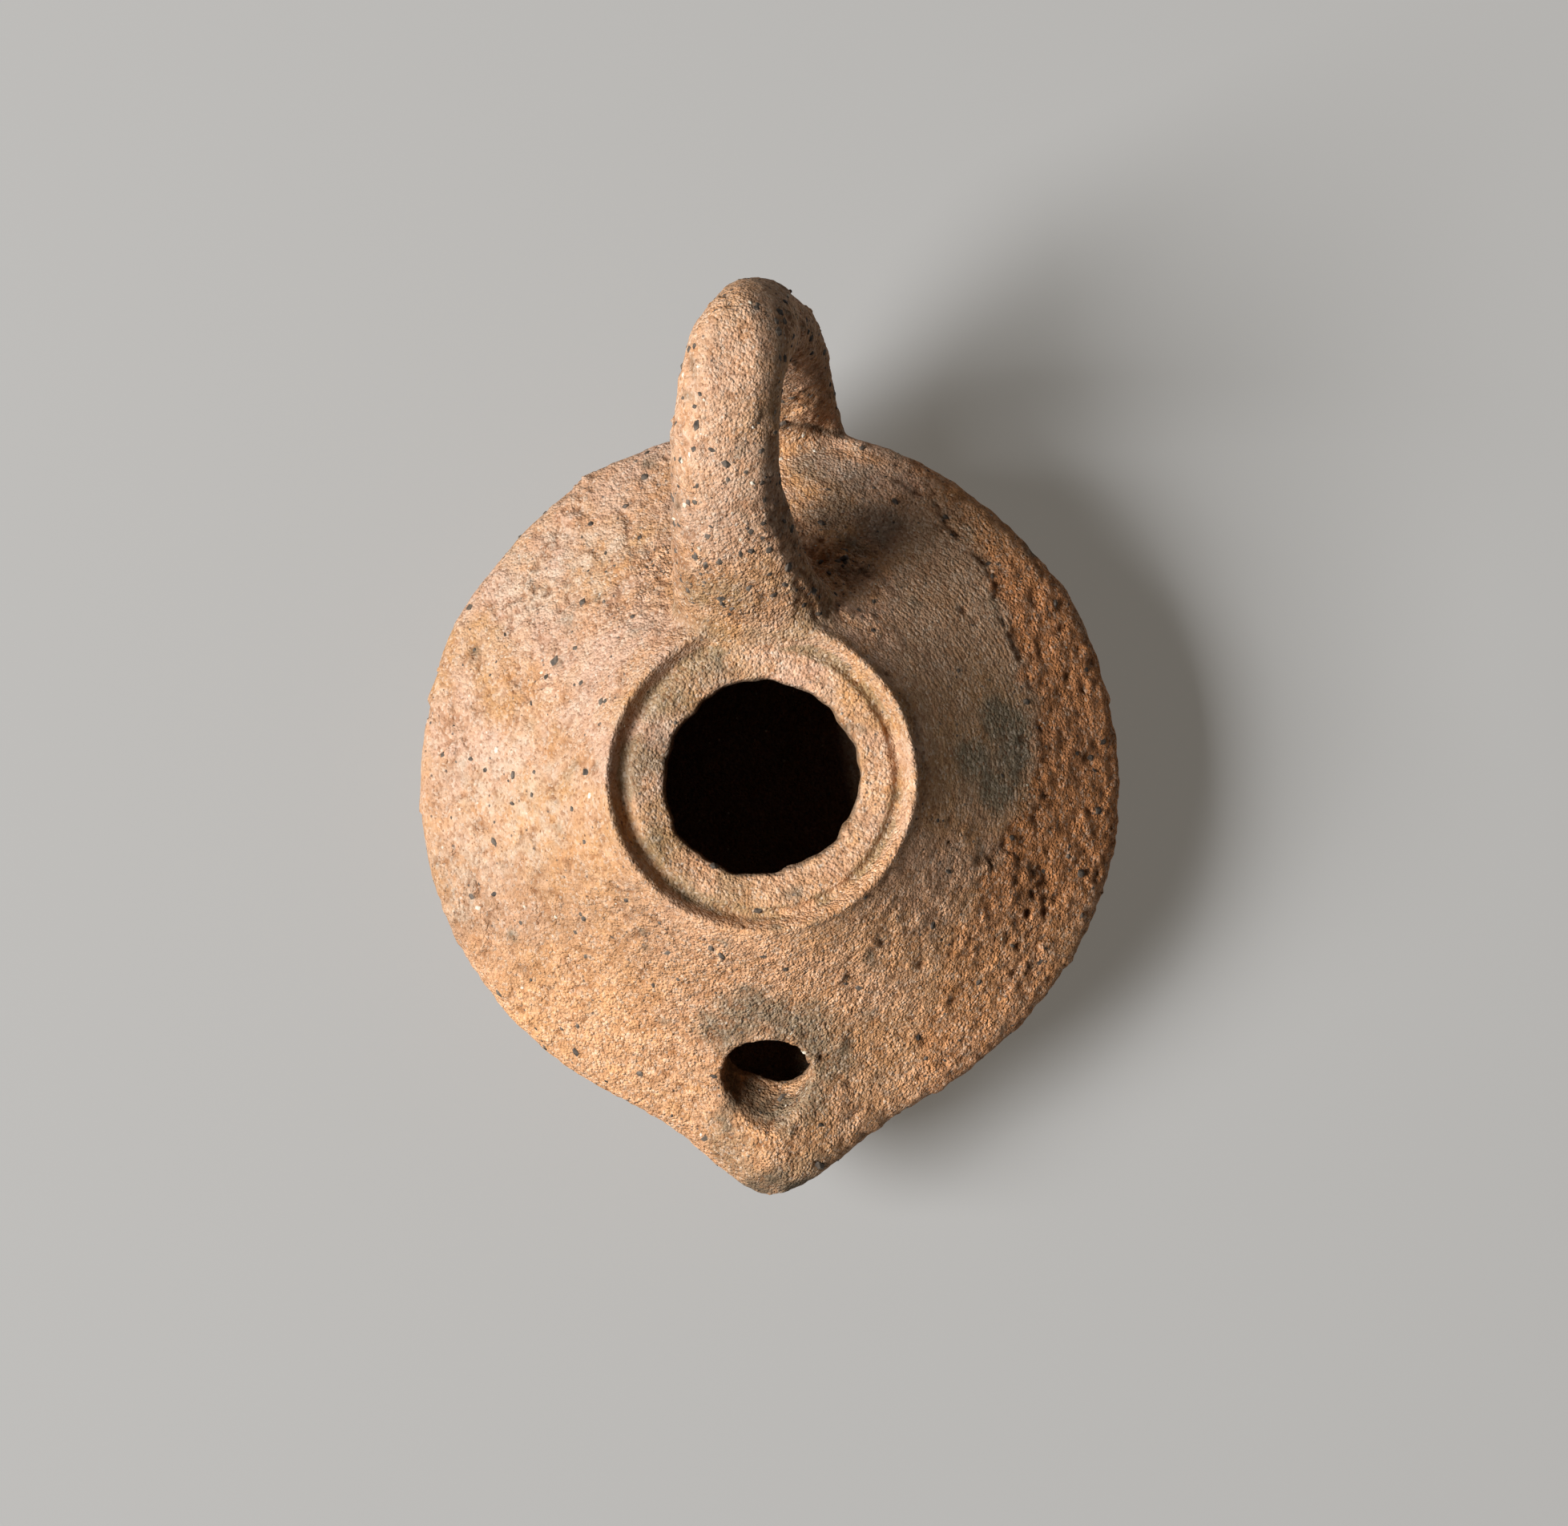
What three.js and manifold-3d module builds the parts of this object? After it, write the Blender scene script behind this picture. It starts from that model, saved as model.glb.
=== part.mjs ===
// A wheel-thrown terracotta oil lamp: a hollow body with a steep shoulder, a collar round the
// filling hole, a short pointed nozzle with a wick hole, and a strap handle that loops from the
// collar to the back of the body. The potter joined all of it before firing, so it is one piece.
//
// Millimetres, +Z up. The origin is the middle of the flat underside, on the axis of the wheel.
// The nozzle points along -Y and the handle stands on the +Y side.

import * as THREE from "three";
import { mergeVertices } from "three/addons/utils/BufferGeometryUtils.js";
import Module from "manifold-3d";

const radians = THREE.MathUtils.degToRad;

// Driving sizes of the thrown body.
const BODY_RADIUS = 40.2;
const EQUATOR_HEIGHT = 17;
const BASE_RADIUS = 19.5;
const WALL = 4.2;
const FLOOR = 4.6;

// The collar: a sharp lip, a groove inside it, and the flat rim round the filling hole.
const LIP_RADIUS = 17.4;
const LIP_HEIGHT = 38.7;
const GROOVE_RADIUS = 15.2;
const GROOVE_HEIGHT = 36.3;
const RIM_RADIUS = 14.4;
const RIM_HEIGHT = 37.4;
const RIM_THICKNESS = 3.8;
const HOLE_RADIUS = 10.6;

// Where the curves of the outline pull towards, as radius and height. The belly is full. The
// shoulder is a hollow curve, steeper under the collar than over the belly.
const BELLY_PULLS = [[30.5, 4.6], [37.4, 9.2]];
const SHOULDER_PULL = [26.7, 27.6];
const SHOULDER_PULL_INSIDE = [23.5, 24.8];

// Roundings of the outline's corners.
const FOOT_ROUNDING = 2.1;
const EQUATOR_ROUNDING = 2.6;
const LIP_WIDTH = 0.8;
const STEP_WIDTH = 0.3;
const NECK_FLARE = 0.9;

// The nozzle is pulled out of the body wall.
const NOZZLE_REACH = 7.6;
const NOZZLE_HALF_ANGLE = radians(28);
const NOZZLE_TIP_ROUNDING = radians(3);
const NOZZLE_TAPER_LEFT = 2.6;
const NOZZLE_TAPER_RIGHT = 2.15;
const NOZZLE_LIFT = 0.8;
const NOZZLE_SWELL = 2;
const NOZZLE_SWELL_RANGE = 4;
const NOZZLE_TOP_START = 22;
const NOZZLE_UNDERSIDE_START = 29;
const NOZZLE_HOLLOW_SHARE = 0.55;

// The round stick that opened the wick hole went in through the top of the nozzle, sloping inwards.
const STICK_RADIUS = 5;
const STICK_SLOPE = radians(40);
const STICK_VEER = radians(6);
const STICK_POINT = new THREE.Vector3(-0.2, -35.4, 26.2);
const STICK_BACK = 11;
const STICK_FORWARD = 15;

// Stations of the handle from the collar over the crown to the back of the belly:
// the centre (x, y, z), half the width, half the thickness, and the turn of the strap in plan.
const HANDLE_STATIONS = [
  { at: [-1.2, 14.0, 30.2], halfWidth: 7.8, halfThickness: 5.0, turn: 0 },
  { at: [-0.8, 18.0, 33.8], halfWidth: 9.4, halfThickness: 5.0, turn: 0 },
  { at: [-1.9, 22.0, 38.0], halfWidth: 8.2, halfThickness: 5.0, turn: 0 },
  { at: [-2.8, 27.0, 42.8], halfWidth: 6.9, halfThickness: 4.9, turn: 0 },
  { at: [-3.3, 32.8, 47.2], halfWidth: 6.1, halfThickness: 4.8, turn: 2 },
  { at: [-3.1, 38.6, 50.2], halfWidth: 5.8, halfThickness: 4.6, turn: 6 },
  { at: [-2.3, 44.2, 51.0], halfWidth: 5.8, halfThickness: 4.6, turn: 18 },
  { at: [-0.6, 48.6, 48.4], halfWidth: 5.6, halfThickness: 4.4, turn: 26 },
  { at: [0.9, 50.4, 42.0], halfWidth: 5.3, halfThickness: 4.3, turn: 20 },
  { at: [1.5, 49.4, 34.0], halfWidth: 5.3, halfThickness: 4.2, turn: 12 },
  { at: [1.8, 46.6, 25.8], halfWidth: 5.5, halfThickness: 4.3, turn: 6 },
  { at: [1.9, 42.8, 19.0], halfWidth: 6.0, halfThickness: 4.6, turn: 4 },
  { at: [2.0, 38.2, 14.2], halfWidth: 7.0, halfThickness: 4.4, turn: 4 },
  { at: [2.0, 33.0, 12.2], halfWidth: 7.4, halfThickness: 2.6, turn: 4 },
];

// A hand-thrown body is never quite round: waves round it, each a share of the radius high.
const WOBBLE = [
  { waves: 1, share: 0.0065, phase: 4.3 },
  { waves: 2, share: 0.003, phase: 1.6 },
  { waves: 3, share: 0.0048, phase: 4.5 },
  { waves: 4, share: 0.0028, phase: 1.2 },
];

// Fineness of the faceted surfaces.
const BODY_SIDES = 80;
const HOLLOW_SIDES = 56;
const FACET_TURN = radians(24);
const FACET_LENGTH = 4.2;
const SIDES_TOWARDS_NOZZLE = 0.45;
const HANDLE_RINGS = 44;
const HANDLE_SIDES = 18;
const STICK_SIDES = 24;
const WELD = 1e-4;

const wasm = await Module();
wasm.setup();

// Points along a path: a facet for each share of the turn that a curve makes, and no long facets.
function facetsAlong(path) {
  const points = [path.curves[0].getPoint(0)];
  for (const curve of path.curves) {
    const turn = curve.getTangent(0).angleTo(curve.getTangent(1));
    const bent = Math.max(Math.ceil(turn / FACET_TURN), Math.ceil(curve.getLength() / FACET_LENGTH));
    points.push(...curve.getPoints(curve.isLineCurve ? 1 : bent).slice(1));
  }
  return points;
}

// The outside as radius and height, from the axis under the base to the axis over the rim: base,
// belly, equator, shoulder, lip, groove and rim. The hollow opens the filling hole through it.
function outsideOutline() {
  const lipFoot = [LIP_RADIUS + STEP_WIDTH, LIP_HEIGHT - LIP_WIDTH];
  const path = new THREE.Path();
  path.moveTo(0, 0);
  path.lineTo(BASE_RADIUS, 0);
  path.quadraticCurveTo(BASE_RADIUS + FOOT_ROUNDING / 2, 0, BASE_RADIUS + FOOT_ROUNDING, FOOT_ROUNDING / 2);
  path.bezierCurveTo(...BELLY_PULLS.flat(), BODY_RADIUS - LIP_WIDTH, EQUATOR_HEIGHT - EQUATOR_ROUNDING);
  path.quadraticCurveTo(BODY_RADIUS + 1.1, EQUATOR_HEIGHT, BODY_RADIUS - 1.3, EQUATOR_HEIGHT + 2);
  path.quadraticCurveTo(...SHOULDER_PULL, ...lipFoot);
  path.quadraticCurveTo(LIP_RADIUS, LIP_HEIGHT + LIP_WIDTH, LIP_RADIUS - LIP_WIDTH, LIP_HEIGHT - 0.2);
  path.lineTo(GROOVE_RADIUS + STEP_WIDTH, GROOVE_HEIGHT + STEP_WIDTH);
  path.quadraticCurveTo(GROOVE_RADIUS, GROOVE_HEIGHT, GROOVE_RADIUS - STEP_WIDTH, GROOVE_HEIGHT + STEP_WIDTH);
  path.quadraticCurveTo(RIM_RADIUS + STEP_WIDTH, RIM_HEIGHT, RIM_RADIUS - STEP_WIDTH, RIM_HEIGHT);
  path.lineTo(0, RIM_HEIGHT);
  return facetsAlong(path);
}

// The hollow in the same way, from the axis on the floor up through the filling hole. Its neck
// flares over the rim, which rounds the edge of the hole.
function hollowOutline() {
  const widest = BODY_RADIUS - WALL;
  const widestFoot = [widest, EQUATOR_HEIGHT - 1.2];
  const ceiling = RIM_HEIGHT - RIM_THICKNESS;
  const clearOfLip = LIP_HEIGHT + WALL;
  const path = new THREE.Path();
  path.moveTo(0, FLOOR);
  path.lineTo(BASE_RADIUS - 3, FLOOR + 0.2);
  path.bezierCurveTo(BASE_RADIUS + 7, FLOOR + 2, widest - 2.4, EQUATOR_HEIGHT - 6, ...widestFoot);
  path.quadraticCurveTo(widest, EQUATOR_HEIGHT + 0.6, widest - 2, EQUATOR_HEIGHT + 1.4);
  path.quadraticCurveTo(...SHOULDER_PULL_INSIDE, LIP_RADIUS - 1.4, ceiling - 0.6);
  path.quadraticCurveTo(HOLE_RADIUS + 3, ceiling + 0.4, HOLE_RADIUS + 0.2, ceiling + 1.2);
  path.lineTo(HOLE_RADIUS, RIM_HEIGHT - NECK_FLARE);
  path.quadraticCurveTo(HOLE_RADIUS, RIM_HEIGHT, HOLE_RADIUS + NECK_FLARE, RIM_HEIGHT + NECK_FLARE / 2);
  path.lineTo(HOLE_RADIUS + NECK_FLARE, clearOfLip);
  path.lineTo(0, clearOfLip);
  return facetsAlong(path);
}

// How far the nozzle stands out of the round body, at an angle from -Y.
function nozzleReach(angle) {
  const rounded = (value) => Math.hypot(value, NOZZLE_TIP_ROUNDING) - NOZZLE_TIP_ROUNDING;
  const across = rounded(angle) / rounded(NOZZLE_HALF_ANGLE);
  const taper = angle < 0 ? NOZZLE_TAPER_LEFT : NOZZLE_TAPER_RIGHT;
  return across < 1 ? NOZZLE_REACH * (1 - across) ** taper : 0;
}

function wobble(angle) {
  return WOBBLE.reduce((sum, w) => sum + w.share * Math.sin(w.waves * angle + w.phase), 0);
}

// Turns an outline on the wheel, gathers the facets towards the nozzle, and pulls the nozzle out.
function turnOnWheel(outline, sides, nozzleShare) {
  const geometry = new THREE.LatheGeometry(outline, sides);
  geometry.rotateX(Math.PI / 2);
  const position = geometry.getAttribute("position");
  for (let i = 0; i < position.count; i++) {
    const radius = Math.hypot(position.getX(i), position.getY(i));
    const even = Math.atan2(position.getX(i), -position.getY(i));
    const angle = even - SIDES_TOWARDS_NOZZLE * Math.sin(even);
    const height = position.getZ(i);
    const start = height > EQUATOR_HEIGHT ? NOZZLE_TOP_START : NOZZLE_UNDERSIDE_START;
    const pull = THREE.MathUtils.smoothstep(radius, start, BODY_RADIUS) * nozzleShare;
    const reach = nozzleReach(angle) * pull;
    const made = radius * (1 + wobble(angle)) + reach;
    const apart = THREE.MathUtils.clamp((height - EQUATOR_HEIGHT) / NOZZLE_SWELL_RANGE, -1, 1);
    const raised = ((NOZZLE_LIFT + NOZZLE_SWELL * apart) * reach * pull) / NOZZLE_REACH;
    position.setXYZ(i, made * Math.sin(angle), -made * Math.cos(angle), height + raised);
  }
  return geometry;
}

// The handle: an oval section carried along its stations, closed at both buried ends.
function handleGeometry() {
  const centre = new THREE.CatmullRomCurve3(HANDLE_STATIONS.map((s) => new THREE.Vector3(...s.at)));
  const section = new THREE.CatmullRomCurve3(
    HANDLE_STATIONS.map((s) => new THREE.Vector3(s.halfWidth, s.halfThickness, radians(s.turn))),
  );
  const vertices = [];
  const addPoint = (point) => vertices.push(point.x, point.y, point.z);
  for (let ring = 0; ring <= HANDLE_RINGS; ring++) {
    const share = ring / HANDLE_RINGS;
    const middle = centre.getPoint(share);
    const along = centre.getTangent(share);
    const { x: halfWidth, y: halfThickness, z: turn } = section.getPoint(share);
    const level = new THREE.Vector3(Math.cos(turn), -Math.sin(turn), 0);
    const through = level.cross(along).normalize();
    const across = along.clone().cross(through).normalize();
    for (let side = 0; side < HANDLE_SIDES; side++) {
      const angle = (side / HANDLE_SIDES) * 2 * Math.PI;
      const point = middle.clone();
      point.addScaledVector(across, halfWidth * Math.cos(angle));
      point.addScaledVector(through, halfThickness * Math.sin(angle));
      addPoint(point);
    }
  }
  addPoint(centre.getPoint(0));
  addPoint(centre.getPoint(1));

  const faces = [];
  const corner = (ring, side) => ring * HANDLE_SIDES + (side % HANDLE_SIDES);
  const startCap = (HANDLE_RINGS + 1) * HANDLE_SIDES;
  for (let side = 0; side < HANDLE_SIDES; side++) {
    for (let ring = 0; ring < HANDLE_RINGS; ring++) {
      const [a, b] = [corner(ring, side), corner(ring, side + 1)];
      const [c, d] = [corner(ring + 1, side + 1), corner(ring + 1, side)];
      faces.push(a, c, b, a, d, c);
    }
    faces.push(startCap, corner(0, side), corner(0, side + 1));
    faces.push(startCap + 1, corner(HANDLE_RINGS, side + 1), corner(HANDLE_RINGS, side));
  }
  const geometry = new THREE.BufferGeometry();
  geometry.setAttribute("position", new THREE.Float32BufferAttribute(vertices, 3));
  geometry.setIndex(faces);
  return geometry;
}

// The space that the stick took: a round bar whose axis slopes down towards the middle of the body.
function wickHoleGeometry() {
  const length = STICK_BACK + STICK_FORWARD;
  const geometry = new THREE.CylinderGeometry(STICK_RADIUS, STICK_RADIUS, length, STICK_SIDES);
  geometry.translate(0, (STICK_FORWARD - STICK_BACK) / 2, 0);
  geometry.rotateX(-STICK_SLOPE);
  geometry.rotateZ(-STICK_VEER);
  geometry.translate(STICK_POINT.x, STICK_POINT.y, STICK_POINT.z);
  return geometry;
}

// A closed geometry as a solid that can be joined and cut, without its collapsed triangles.
function solidOf(geometry) {
  const bare = geometry.clone();
  bare.deleteAttribute("normal");
  bare.deleteAttribute("uv");
  const merged = mergeVertices(bare, WELD);
  const kept = [];
  for (let i = 0; i < merged.index.count; i += 3) {
    const [a, b, c] = [0, 1, 2].map((k) => merged.index.getX(i + k));
    if (a !== b && b !== c && c !== a) kept.push(a, b, c);
  }
  return new wasm.Manifold(
    new wasm.Mesh({
      numProp: 3,
      vertProperties: merged.attributes.position.array,
      triVerts: new Uint32Array(kept),
    }),
  );
}

function geometryOf(solid) {
  const mesh = solid.getMesh();
  const geometry = new THREE.BufferGeometry();
  geometry.setAttribute("position", new THREE.Float32BufferAttribute(mesh.vertProperties, mesh.numProp));
  geometry.setIndex([...mesh.triVerts]);
  geometry.computeVertexNormals();
  return geometry;
}

const thrown = solidOf(turnOnWheel(outsideOutline(), BODY_SIDES, 1));
const hollow = solidOf(turnOnWheel(hollowOutline(), HOLLOW_SIDES, NOZZLE_HOLLOW_SHARE));
const handle = solidOf(handleGeometry());
const wickHole = solidOf(wickHoleGeometry());
const fired = thrown.add(handle).subtract(hollow).subtract(wickHole);

const terracotta = new THREE.MeshStandardMaterial({ color: 0xc99568, roughness: 0.95, metalness: 0 });
const lamp = new THREE.Mesh(geometryOf(fired), terracotta);
lamp.name = "oil_lamp";

const oilLamp = new THREE.Group();
oilLamp.add(lamp);

export default oilLamp;
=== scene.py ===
# %% [markdown]
# # A terracotta oil lamp
# A potter threw this lamp on a wheel from coarse, gritty clay, pulled out a nozzle, luted a
# strap handle on and fired it at a low heat. Centuries in the ground then pitted, flaked and
# stained it. The solid from the frame holds its true form. This script wears that form down:
# it makes one dense mesh, moves its skin by a few tenths of a millimetre, and paints it.

# %% Load the frame
import math

import bmesh
import bpy
import numpy as np
from mathutils import Matrix, Vector, kdtree, noise
from mathutils.bvhtree import BVHTree


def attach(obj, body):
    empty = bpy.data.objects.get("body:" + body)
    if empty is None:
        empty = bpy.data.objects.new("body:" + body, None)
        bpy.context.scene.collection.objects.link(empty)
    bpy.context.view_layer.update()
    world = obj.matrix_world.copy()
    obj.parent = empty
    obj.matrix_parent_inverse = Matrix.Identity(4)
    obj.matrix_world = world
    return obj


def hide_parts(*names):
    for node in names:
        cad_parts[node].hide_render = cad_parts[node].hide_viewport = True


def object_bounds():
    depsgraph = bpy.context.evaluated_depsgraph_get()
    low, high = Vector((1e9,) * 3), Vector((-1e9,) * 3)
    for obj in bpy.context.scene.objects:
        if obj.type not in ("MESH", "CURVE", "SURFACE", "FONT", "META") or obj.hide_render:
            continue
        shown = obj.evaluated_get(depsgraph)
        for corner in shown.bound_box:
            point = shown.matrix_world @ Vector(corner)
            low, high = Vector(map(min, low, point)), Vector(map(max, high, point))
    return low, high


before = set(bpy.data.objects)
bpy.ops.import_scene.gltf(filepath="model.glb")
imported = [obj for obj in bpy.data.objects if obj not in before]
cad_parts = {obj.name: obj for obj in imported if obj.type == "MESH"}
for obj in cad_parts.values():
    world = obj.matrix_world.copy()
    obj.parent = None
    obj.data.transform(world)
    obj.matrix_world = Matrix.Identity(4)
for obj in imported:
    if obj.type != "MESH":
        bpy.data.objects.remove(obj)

MM = 0.001
NODE = "oil_lamp"
cad_low, cad_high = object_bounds()
print("frame", [round(v / MM, 1) for v in (*cad_low, *cad_high)], "mm")

# %% [markdown]
# ## The camera first
# The photograph looks straight down from about 62 cm, a few degrees off the lamp's axis, so
# the tall parts lean a little to the left and up. The camera comes first because some marks,
# such as a scarp or a soot stain, are placed by the pixel at which the photograph shows them:
# a ray through that pixel finds the spot on the lamp that carries the mark.

# %% The camera
PHOTO_WIDTH, PHOTO_HEIGHT = 1957, 1904
PIXELS_PER_MM = 10.9
CAMERA_DISTANCE = 620
CAMERA_TARGET = Vector((1.65, 2.1, 17.0))
LEAN_RIGHT = math.radians(2.6)
LEAN_DOWN = math.radians(1.3)
SENSOR = 36


def make_camera():
    data = bpy.data.cameras.new("camera")
    data.sensor_width = SENSOR
    data.lens = SENSOR * PIXELS_PER_MM * CAMERA_DISTANCE / PHOTO_WIDTH
    data.clip_start, data.clip_end = 0.05, 10
    camera = bpy.data.objects.new("camera", data)
    away = Vector((math.tan(LEAN_RIGHT), -math.tan(LEAN_DOWN), 1)).normalized()
    right = Vector((0, 1, 0)).cross(away).normalized()
    up = away.cross(right)
    turn = Matrix((right, up, away)).transposed()
    camera.matrix_world = Matrix.Translation((CAMERA_TARGET + away * CAMERA_DISTANCE) * MM) @ turn.to_4x4()
    bpy.context.scene.collection.objects.link(camera)
    bpy.context.scene.camera = camera
    return camera


camera = make_camera()
print("lens", round(camera.data.lens, 1), "mm")

# %% [markdown]
# ## One dense skin
# The solid has under ten thousand triangles, far too coarse for pits and flakes. A voxel remesh
# lays an even net of small squares over it. That net also melts the joins of the handle into
# the body, as the potter's thumb did, once it is relaxed there. A plain subdivision would keep
# the long thin triangles of the solid, and they would tear under displacement.

# %% Copy the solid and remesh it
VOXEL = 0.4 * MM


def plain_mesh(source):
    """A copy of an object's evaluated mesh, with its modifiers applied."""
    graph = bpy.context.evaluated_depsgraph_get()
    return bpy.data.meshes.new_from_object(source.evaluated_get(graph), depsgraph=graph)


def bake_modifiers(piece):
    bpy.context.view_layer.update()
    old, piece.data = piece.data, plain_mesh(piece)
    piece.modifiers.clear()
    bpy.data.meshes.remove(old)


def copy_of_node(node, name):
    shape = bmesh.new()
    shape.from_mesh(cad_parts[node].data)
    bmesh.ops.remove_doubles(shape, verts=shape.verts, dist=0.0005 * MM)
    mesh = bpy.data.meshes.new(name)
    shape.to_mesh(mesh)
    shape.free()
    piece = bpy.data.objects.new(name, mesh)
    bpy.context.scene.collection.objects.link(piece)
    return piece


lamp = copy_of_node(NODE, "lamp")
remesh = lamp.modifiers.new("remesh", "REMESH")
remesh.mode = "VOXEL"
remesh.voxel_size = VOXEL
bake_modifiers(lamp)
print("skin", len(lamp.data.vertices), "points")

# %% [markdown]
# ## Working on the skin as arrays
# Every later step asks where a point of the skin lies and moves it a little, so the points are
# kept as one array in millimetres. The zones below say which part of the lamp a point is on.

# %% Arrays and zones
HOLE_RADIUS = 10.6
RIM_HEIGHT = 37.4
EQUATOR_HEIGHT = 17.0
NECK_HEIGHT = 33  # collar, rim and handle are above it
CROWN = 43, 50  # the handle bends over between these heights
# Radius of the outside at a few heights, from the foot to the lip.
OUTSIDE_HEIGHTS = (0, 1, 4.6, 9.2, 14.4, 17, 19, 24.3, 30.0, 38.0)
OUTSIDE_RADII = (19.5, 21.6, 28.3, 34.7, 39.4, 40.2, 38.9, 31.2, 24.0, 17.9)


def smooth_step(value, low, high):
    share = np.clip((value - low) / (high - low), 0, 1)
    return share * share * (3 - 2 * share)


class Skin:
    """The points of a mesh in millimetres, with its edges and normals."""

    def __init__(self, piece):
        self.mesh = piece.data
        count = len(self.mesh.vertices)
        self.points = np.empty(count * 3)
        self.mesh.vertices.foreach_get("co", self.points)
        self.points = self.points.reshape(-1, 3) / MM
        edges = np.empty(len(self.mesh.edges) * 2, int)
        self.mesh.edges.foreach_get("vertices", edges)
        self.edges = edges.reshape(-1, 2)
        self.degree = np.bincount(self.edges.ravel(), minlength=count)

    def write(self):
        self.mesh.vertices.foreach_set("co", (self.points * MM).ravel())
        self.mesh.update()

    def normals(self):
        self.write()
        normals = np.empty(len(self.points) * 3)
        self.mesh.vertices.foreach_get("normal", normals)
        return normals.reshape(-1, 3)

    def neighbours_mean(self, values):
        a, b = self.edges.T
        total = np.bincount(a, values[b], len(values)) + np.bincount(b, values[a], len(values))
        return total / self.degree

    def relax(self, weight, rounds):
        for _ in range(rounds):
            mean = np.column_stack([self.neighbours_mean(self.points[:, k]) for k in range(3)])
            self.points += (mean - self.points) * weight[:, None]


skin = Skin(lamp)
x, y, z = skin.points.T
radius = np.hypot(x, y)
outside_radius = np.interp(z, OUTSIDE_HEIGHTS, OUTSIDE_RADII)
inner = ((radius < outside_radius - 1.7) & (z > 2.5) & (z < 36)) | ((radius < HOLE_RADIUS + 0.3) & (z > 2.5))
collar = smooth_step(z, 35.2, 36.2) * (1 - smooth_step(radius, 18.4, 19.4)) * (y < 60)
on_handle = ((y > 12) & (radius > outside_radius + 1.2) & (np.abs(x) < 14)) | (z > 40)
handle = on_handle.astype(float)
for _ in range(6):
    handle = skin.neighbours_mean(handle)
print("inner", int(inner.sum()), "handle", int(on_handle.sum()))

# %% [markdown]
# ## Joins and edges
# The handle was pressed on while the clay was soft, so its roots flow into the body. Relaxing
# a net moves each point to the middle of its neighbours: many rounds make a fillet, and a few
# rounds take the flat facets out of the belly without blunting the lip.

# %% Fill the groove under the handle
# The handle's root was smeared over the lip, so the groove stops short on both sides of it.
from_back = np.arctan2(x, y)
smeared = np.exp(-((from_back / 0.31) ** 8)) * (radius > 14.3) * (radius < 17.8) * (z > NECK_HEIGHT)
bridge = np.interp(radius, (14.3, 15.2, 17.4), (RIM_HEIGHT - 0.2, RIM_HEIGHT, RIM_HEIGHT + 1.6))
skin.points[:, 2] += smeared * np.maximum(bridge - z, 0)
# The flat rim is dished: it falls towards the filling hole, whose edge is worn out of round.
DISH = 0.8
dish = np.clip((14.3 - radius) / (14.3 - HOLE_RADIUS), 0, 1) * smooth_step(z, 31, 35)
skin.points[:, 2] -= DISH * dish
around = np.arctan2(y, x)
WORN_WAVES = (  # height in mm, number of waves round the hole, where they start
    (0.16, 2, 0.4), (0.14, 3, 2.1), (0.12, 7, 1.0), (0.1, 11, 4.0), (0.09, 17, 1.3), (0.07, 26, 0.2),
)
worn = sum(tall * np.sin(count * around + start) for tall, count, start in WORN_WAVES)
skin.points[:, :2] *= (1 + (worn * dish**4 + 0.1 * dish**4) / np.maximum(radius, 1))[:, None]

# %% Relax the joins
FRONT_ROOT = np.array((-1.5, 19.5, 36.5))
FRONT_ROOT_SIDE = np.array((6.5, 22.0, 34.0))
REAR_ROOT = np.array((2.0, 38.5, 11.0))


def near(place, reach):
    """One at a place, falling to nothing at that reach."""
    away = np.linalg.norm(skin.points - place, axis=1) / reach
    return np.exp(-((away * 2) ** 2))


join = np.clip(near(FRONT_ROOT, 14) + near(FRONT_ROOT_SIDE, 12) + smeared, 0, 1)
join *= ~inner & (radius > 14.4)
skin.relax(0.6 * join, 45)
skin.relax(0.5 * near(REAR_ROOT, 8), 8)
skin.relax(0.5 * (1 - collar) * (1 - join), 7)
skin.relax(0.3 * np.ones(len(x)), 2)
skin.write()
print("relaxed", round(float(join.sum())), "points at the joins")

# %% [markdown]
# ## Finding places on the photograph
# The view from the camera is the photograph's, so a ray from it through a pixel meets the lamp
# where the photograph shows that spot.

# %% From a pixel to the lamp
lamp_tree = BVHTree.FromPolygons(
    [tuple(p) for p in skin.points], [tuple(p.vertices) for p in skin.mesh.polygons]
)


def on_lamp(pixel_x, pixel_y):
    """The point of the lamp, in millimetres, that the photograph shows at or next to a pixel."""
    half = Vector((PHOTO_WIDTH, PHOTO_HEIGHT)) / 2
    focal = PIXELS_PER_MM * CAMERA_DISTANCE
    ray = Vector(((pixel_x - half.x) / focal, (half.y - pixel_y) / focal, -1))
    turn = camera.matrix_world.to_3x3()
    hit = lamp_tree.ray_cast(camera.matrix_world.translation / MM, turn @ ray)[0]
    if hit:
        return np.array(hit)
    return skin.points[np.argmin(np.hypot(photo_x - pixel_x, photo_y - pixel_y))].copy()


def photo_places():
    """Where the photograph shows each point of the skin, in pixels."""
    turn = np.array(camera.matrix_world.to_3x3())
    seen = (skin.points - np.array(camera.matrix_world.translation) / MM) @ turn
    scale = PIXELS_PER_MM * CAMERA_DISTANCE / -seen[:, 2]
    return PHOTO_WIDTH / 2 + seen[:, 0] * scale, PHOTO_HEIGHT / 2 - seen[:, 1] * scale


photo_x, photo_y = photo_places()


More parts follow.
